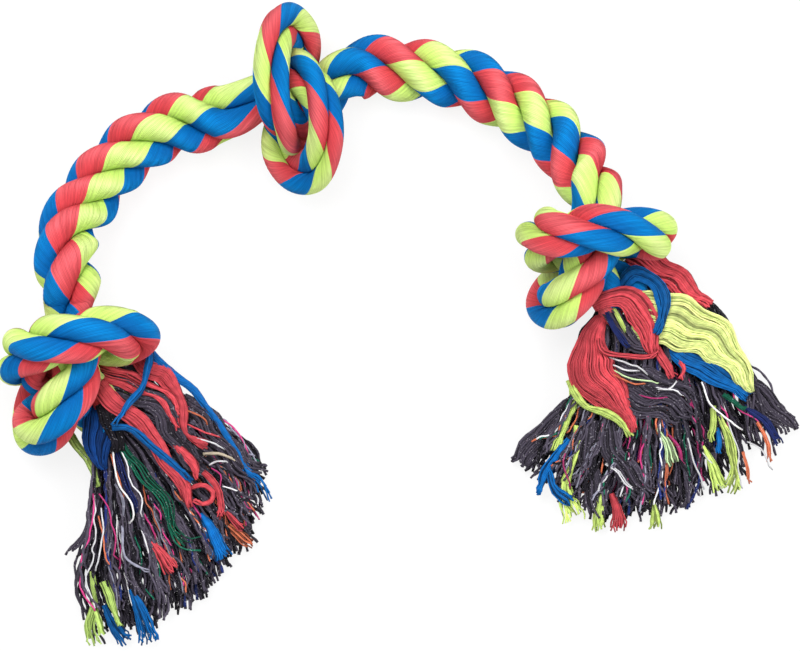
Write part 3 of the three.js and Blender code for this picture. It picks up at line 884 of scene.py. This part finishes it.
# %% What lies on the left tassel
left_ribbons = [
    ("black", [26, 30, 30, 24, 16], 26, [0.96, 0.98], 8, [96, 364, 120, 374, 148, 384, 172, 400, 188, 424]),
    ("charcoal", [26, 24, 20, 18, 12], 16, [1.02, 1.05], 8, [104, 384, 132, 392, 158, 402, 176, 418, 190, 440]),
    ("red", [9, 8, 6, 4, 3], 9, 1.1, 6, [100, 366, 126, 374, 154, 386, 174, 400, 184, 420]),
    ("red", [16, 20, 16, 10, 7, 5, 3], 26, [1.08, 1.1], 5, [138, 358, 150, 370, 165, 376, 177, 392, 182, 412, 186, 432,
     196, 442, 208, 444]),
    ("red", [9, 8, 6, 4, 3], 8, [1.1, 1.12], 6, [98, 376, 128, 386, 153, 396, 165, 404, 174, 419, 178, 432]),
    ("red", [16, 18, 17, 16, 15, 13, 12, 4], 32, [1.3, 1.16], 3, [98, 384, 111, 399, 127, 412, 143, 424, 155, 442,
     167, 462, 183, 486, 190, 508]),
    ("red", [5, 8, 9, 7], 10, [1.1, 1.2], 2, [169, 442, 183, 452, 195, 466, 199, 480]),
    ("red", [4, 4, 4, 4, 4, 3], 5, [1.22, 1.26], 0, [191, 488, 203, 485, 213, 492, 211, 502, 201, 504, 193, 498]),
    ("red", [5, 6, 6, 6], 8, [1.18, 1.2], 2, [203, 472, 215, 484, 221, 500, 221, 520]),
    ("blue", [6, 7, 7, 6, 6, 6], 8, [1.14, 1.16, 1.24, 1.38, 1.4], 2, [143, 338, 150, 352, 148, 368, 143, 386, 131, 402,
     121, 416, 113, 426]),
    ("blue", [6, 6, 6, 7, 7, 6], 9, [1.4, 1.22], 2, [113, 427, 127, 427, 141, 435, 155, 449, 175, 465, 193, 483]),
    ("blue", [7, 9, 11, 7, 5, 5, 6, 6, 6, 9], 12, [1, 1.12], 2, [138, 338, 150, 352, 163, 367, 183, 382, 195, 392,
     207, 408, 221, 428, 235, 450, 247, 470, 259, 480, 271, 502]),
    ("black", [18, 22, 18, 10], 15, [1.26, 1.1], 5, [104, 402, 111, 416, 116, 434, 119, 452]),
    ("deep blue", [34, 38, 36, 22, 6], 42, 1.1, 3, [104, 404, 102, 424, 98, 442, 100, 458, 103, 470]),
    ("dull lime", [9, 9, 9, 7, 2], 10, [0.8, 0.9], 2, [66, 430, 76, 445, 86, 457, 93, 471, 99, 487]),
    ("green", [5, 10, 14, 14, 12, 10, 12, 18], 6, [1.08, 1.12], 5, [117, 436, 129, 456, 143, 474, 159, 492, 169, 508,
     173, 530, 183, 542, 201, 544]),
    ("white", 2, 1, [1.1, 1.12], 5, [113, 448, 115, 472, 123, 490, 131, 508, 132, 526]),
    ("white", 1, 1, [1.1, 1.12], 5, [119, 444, 127, 466, 133, 484, 141, 498, 141, 520]),
    ("orange", 2, 1, [1.08, 1.1], 4, [111, 454, 119, 480, 127, 498]),
    ("navy", 8, 3, [1.06, 1.08], 5, [116, 450, 123, 474, 133, 498, 137, 514]),
    ("grey", 2, 2, 1.1, 3, [115, 484, 123, 500, 124, 520]),
    ("grey", 2, 2, [1.12, 1.15], 2, [122, 526, 124, 552, 129, 562, 151, 574]),
    ("pink", 2, 1, [1.08, 1.1], 5, [99, 494, 109, 510, 113, 530, 117, 562]),
    ("pink", 2, 1, [1.08, 1.1], 5, [143, 512, 150, 526, 156, 541]),
    ("white", 1, 1, [1.08, 1.1], 3, [101, 508, 103, 540, 93, 572]),
    ("orange", 2, 1, [1.08, 1.1], 3, [98, 516, 103, 540, 109, 573]),
    ("white", 1, 1, 1.1, 2, [141, 530, 146, 544, 151, 558]),
    ("cream", 2, 3, [1.15, 1.2], 2, [203, 454, 222, 454, 241, 464]),
    ("white", 1, 1, 1.2, 2, [209, 465, 218, 461, 230, 462]),
    ("white", 1, 1, [1.15, 1.2], 3, [189, 436, 206, 441, 226, 449]),
    ("orange", 1, 1, [1.15, 1.2], 3, [184, 410, 196, 414, 209, 423]),
    ("odd red", 1, 1, [1.15, 1.2], 3, [187, 424, 202, 431, 222, 437]),
    ("pink", 1, 1, 1.2, 2, [211, 468, 221, 476, 219, 490]),
    ("white", 2, 1, 1.15, 2, [222, 486, 232, 489, 237, 492]),
    ("charcoal", [22, 20, 18, 16, 14], 12, [1.04, 1.06], 9, [146, 396, 160, 410, 170, 430, 184, 452, 200, 466]),
    ("charcoal", [14, 20, 24, 24, 20], 13, [1, 1.1], 8, [182, 400, 200, 412, 222, 440, 240, 462, 262, 480]),
    ("charcoal", [8, 10, 12, 14], 7, [0.9, 0.5], 3, [98, 500, 90, 528, 80, 546, 69, 560]),
    ("blue", [4, 14, 18], 18, 1, 2, [200, 514, 212, 532, 222, 560]),
    ("blue", [4, 14, 20], 18, [1.1, 0.7], 2, [130, 590, 141, 616, 149, 646]),
    ("blue", [4, 9, 16], 12, [1.1, 0.6], 2, [103, 606, 113, 628, 127, 646]),
    ("red", [4, 10, 14], 12, 1.1, 3, [150, 540, 163, 558, 174, 573]),
    ("red", [3, 6, 8], 6, 1.15, 2, [226, 512, 236, 524, 243, 530]),
    ("rust", [8, 10, 14], 6, [1.1, 1], 3, [228, 526, 240, 536, 254, 547]),
    ("dull lime", [4, 6, 8, 14], 12, [1, 0.6], 4, [91, 572, 94, 600, 89, 626, 91, 648]),
    ("dull lime", [9, 7, 4], 8, [1.12, 1.1], 4, [103, 582, 111, 602, 119, 628]),
    ("dull lime", [4, 6, 8], 6, [1.15, 1.1], 2, [95, 612, 99, 624, 102, 636]),
]
for row in left_ribbons:
    ribbon(left_tassel, *row)
print("rows on the left", len(left_ribbons))

# %% [markdown]
# ## What lies on the right tassel
# Here the cover yarns came away as broad sheets: lime over blue, and red in a loop and a long tongue. A dark sheet
# under each bright one fills the gaps between its yarns.

# %% What lies on the right tassel
right_ribbons = [
    ("black", [34, 34, 30, 24, 12], 26, 0.8, 8, [632, 258, 658, 276, 684, 292, 704, 310, 716, 322]),
    ("red", [34, 34, 28, 20, 8], 42, [0.95, 0.98], 9, [630, 252, 656, 268, 680, 283, 698, 297, 710, 307]),
    ("black", [44, 44, 36, 24, 10], 26, [0.95, 1], 6, [650, 316, 680, 320, 704, 330, 722, 350, 738, 376]),
    ("pale lime", [46, 56, 54, 47, 36, 22, 6], 66, [1.16, 1.1], 9, [632, 316, 658, 318, 684, 325, 706, 334, 722, 347,
     736, 364, 754, 392]),
    ("blue", [12, 15, 15, 14, 10, 6], 20, [1.16, 1.26], 3, [620, 288, 634, 273, 652, 281, 663, 300, 661, 318,
     654, 334]),
    ("blue", [10, 22, 24, 18, 6], 26, [1.04, 1.06], 4, [668, 348, 690, 361, 712, 372, 732, 384, 750, 397]),
    ("charcoal", [14, 16, 16, 14, 10], 10, [1.08, 1.12], 4, [602, 304, 612, 314, 621, 330, 634, 344, 652, 350]),
    ("red", [12, 16, 21, 26, 30, 29, 16, 8], 40, [1.26, 1.18], 5, [592, 306, 602, 300, 613, 297, 624, 298, 637, 307,
     646, 324, 650, 342, 654, 354]),
    ("black", [8, 14, 28, 38, 38, 30, 12], 24, [0.9, 1], 6, [606, 298, 600, 316, 594, 340, 591, 358, 594, 374,
     604, 390, 622, 412]),
    ("red", [8, 18, 32, 45, 47, 40, 28, 14, 5], 58, [1.04, 1.14], 6, [604, 314, 597, 326, 592, 341, 590, 358, 593, 373,
     601, 385, 613, 396, 625, 412, 633, 433]),
    ("lime", [6, 7, 7, 7, 6, 3], 9, [1.1, 1.2], 3, [569, 380, 576, 395, 589, 408, 606, 414, 620, 421, 630, 438]),
    ("red", [6, 6, 5, 5, 5], 7, [1.16, 1.2], 3, [598, 334, 602, 350, 622, 356, 648, 356, 658, 350]),
    ("red", [8, 10, 4], 11, 1.16, 5, [655, 346, 664, 362, 673, 378]),
    ("red", [5, 4, 2], 4, 1.14, 2, [676, 357, 684, 368, 679, 379]),
    ("charcoal", [20, 28, 30, 30], 18, [1.04, 1.05], 13, [612, 366, 636, 380, 664, 388, 690, 404]),
    ("charcoal", [20, 26, 28, 24], 17, [1.06, 1.08], 13, [618, 392, 645, 405, 672, 408, 692, 422]),
    ("white", 1, 1, 1.16, 4, [609, 357, 630, 364, 651, 375]),
    ("white", 1, 1, 1.16, 4, [613, 365, 626, 370, 640, 371]),
    ("pale green", 1, 1, 1.16, 4, [614, 370, 634, 380, 662, 381]),
    ("orange", 1, 1, 1.16, 4, [612, 374, 630, 382, 652, 384]),
    ("white", 1, 1, [1.2, 1.22], 2, [652, 386, 668, 389, 676, 380]),
    ("white", 1, 1, 1.2, 2, [654, 389, 676, 390, 685, 399]),
    ("pink", 2, 1, 1.16, 3, [636, 394, 654, 398, 672, 399]),
    ("lime", 4, 3, 1.2, 3, [613, 308, 619, 320, 628, 334]),
    ("indigo", 6, 4, 1.18, 4, [607, 312, 614, 330, 630, 347]),
    ("charcoal", [12, 20, 24, 26, 22], 22, [0.75, 0.4], 4, [574, 404, 560, 420, 546, 434, 532, 450, 517, 470]),
    ("lime", [5, 8, 7, 7], 10, 0.9, 3, [572, 386, 573, 406, 563, 430, 554, 452]),
    ("blue", [6, 11, 4], 14, [1, 0.6], 4, [570, 440, 550, 466, 538, 496]),
    ("blue", [6, 9, 12], 10, [1, 0.8], 3, [550, 472, 556, 492, 574, 504]),
    ("lime", [10, 8, 9, 24], 22, [1.02, 0.6], 4, [580, 426, 576, 456, 566, 486, 576, 524]),
    ("pink", 2, 1, [1.08, 1], 3, [568, 446, 564, 466, 572, 491]),
    ("charcoal", [16, 18, 18, 20], 13, [1.04, 0.8], 5, [592, 420, 588, 450, 594, 480, 600, 520]),
    ("charcoal", [18, 22, 24, 24], 16, [1.06, 1], 5, [608, 420, 612, 448, 630, 474, 648, 500]),
    ("pale green", [4, 8, 12], 7, 1.1, 4, [658, 428, 668, 444, 674, 466]),
    ("pink", [2, 2, 3], 3, 1.1, 4, [666, 432, 678, 446, 686, 467]),
    ("white", 1, 1, 1.15, 3, [702, 382, 710, 402, 728, 420, 746, 431]),
    ("white", 1, 1, [1.15, 1.1], 3, [728, 420, 738, 450, 742, 491]),
    ("white", 1, 1, [1.15, 1.1], 3, [748, 442, 764, 452, 772, 473]),
    ("lime", [4, 8, 8, 14], 12, [1.1, 0.9], 3, [720, 416, 730, 440, 736, 470, 732, 497]),
    ("lime", [3, 8, 16], 12, [1.1, 0.9], 2, [704, 446, 716, 472, 722, 492]),
    ("lime", 6, 7, 1.1, 3, [714, 406, 714, 426, 711, 444]),
    ("blue", 5, 5, 1.12, 2, [718, 428, 720, 442, 718, 454]),
    ("orange", 3, 3, [1.12, 1.1], 3, [758, 422, 768, 442, 772, 463]),
    ("orange", 3, 2, [1.12, 1], 3, [744, 452, 748, 468, 752, 484]),
    ("indigo", [5, 8, 8], 10, [1.08, 0.8], 3, [744, 406, 766, 422, 782, 446]),
    ("green", 5, 5, 1.12, 2, [724, 394, 734, 401, 745, 411]),
    ("charcoal", [14, 26, 26, 20], 15, [0.9, 0.5], 5, [736, 372, 756, 394, 776, 414, 797, 433]),
    ("red", [4, 10, 16], 12, [1, 0.6], 2, [612, 494, 618, 510, 620, 533]),
    ("lime", [4, 8, 14], 9, [1, 0.6], 2, [652, 500, 656, 514, 657, 531]),
    ("lime", [4, 8, 12], 12, [1, 0.6], 2, [604, 486, 600, 508, 600, 533]),
    ("white", 3, 2, 1.1, 4, [606, 464, 618, 472, 628, 484, 640, 492]),
    ("white", 2, 1, [1.15, 1.1], 3, [688, 438, 696, 466, 706, 491]),
    ("white", 1, 1, 1.15, 2, [702, 452, 709, 460, 718, 469]),
]
for row in right_ribbons:
    ribbon(right_tassel, *row)
print("rows on the right", len(right_ribbons))

# %% [markdown]
# ## Tassels made
# The yarns of one colour slot on one side become one mesh.

# %% Tassels made
lock_numbers = {
    "left": {"charcoal": [1, 3, 4, 6, 8, 9, 11], "lime": [2], "blue": [5, 7], "red": [10, 12]},
    "right": {"charcoal": [1, 3, 4, 6, 7, 9], "blue": [2], "lime": [5, 11, 12], "red": [8, 10]},
}
charcoal_flecks = 0.35
tassel_bend = (0.004, 0.014)
for tassel in (left_tassel, right_tassel):
    for slot, batches in tassel.batches.items():
        made = yarn_object(f"{tassel.side}_tassel_{slot}", batches)
        flecks = charcoal_flecks if slot == "charcoal" else 0.0
        made.data.materials.append(loose_yarn(f"{slot}_{tassel.side}_yarn", flecks))
        start = tassel.root - tassel.outwards * tassel_bend[0]
        end = tassel.root + tassel.outwards * tassel_bend[1]
        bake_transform(made)
        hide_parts(*[f"{tassel.side}_tassel_lock_{n:02d}" for n in lock_numbers[tassel.side][slot]])
        print(made.name, "yarns", sum(len(paths) for paths, _, _ in batches), "faces", len(made.data.polygons))

# %% [markdown]
# ## Ground and light
# The toy lies on a plain white sheet under soft light from all round, with a little more from one side.

# %% Ground and light
shadow_share = 0.16
sheet_half = 3.0
sheet_drop = 0.0002
room_strength = 0.56
lamps = {"overhead_lamp": (26, 1.0, (-0.35, 0.6, 1.7)), "side_lamp": (11, 0.8, (1.0, 0.1, 1.3))}


def make_ground():
    """A sheet that lights the toy from below as white paper does, and that the camera sees nearly pure white."""
    finish = Finish("white_sheet", {"Roughness": 0.9})
    finish.feed("Base Color", colour(250, 250, 250))
    seen = finish.node("LightPath", {}, {})
    glow = finish.node("Emission", {}, {"Color": (1, 1, 1, 1), "Strength": 1.0})
    lit = Wire(finish, finish.shader.outputs[0])
    mixed = finish.node("MixShader", {}, {0: seen * (1 - shadow_share), 1: lit, 2: glow})
    output = next(node for node in finish.tree.nodes if node.type == "OUTPUT_MATERIAL")
    finish.put(output.inputs["Surface"], mixed)
    mesh = bpy.data.meshes.new("ground")
    corners = [(x * sheet_half, y * sheet_half, 0) for x, y in ((-1, -1), (1, -1), (1, 1), (-1, 1))]
    mesh.from_pydata(corners, [], [(0, 1, 2, 3)])
    ground = placed("ground", mesh)
    ground.location.z = -sheet_drop
    mesh.materials.append(finish.material)


def make_lamp(name, energy, size, place):
    """A soft square lamp that looks at the middle of the toy."""
    lamp = bpy.data.lights.new(name, "AREA")
    lamp.energy = energy
    lamp.size = size
    made = placed(name, lamp)
    made.location = place
    x, y, z = place
    made.rotation_euler = (math.atan2(math.hypot(x, y), z), 0, math.atan2(x, -y))


world = bpy.data.worlds.new("soft_room")
bpy.context.scene.world = world
world.use_nodes = True
background = world.node_tree.nodes["Background"]
background.inputs["Color"].default_value = (1, 1, 1, 1)
background.inputs["Strength"].default_value = room_strength
make_ground()
for name, (energy, size, place) in lamps.items():
    make_lamp(name, energy, size, place)
bpy.context.scene.view_settings.view_transform = "Standard"
print("lamps", len(lamps))
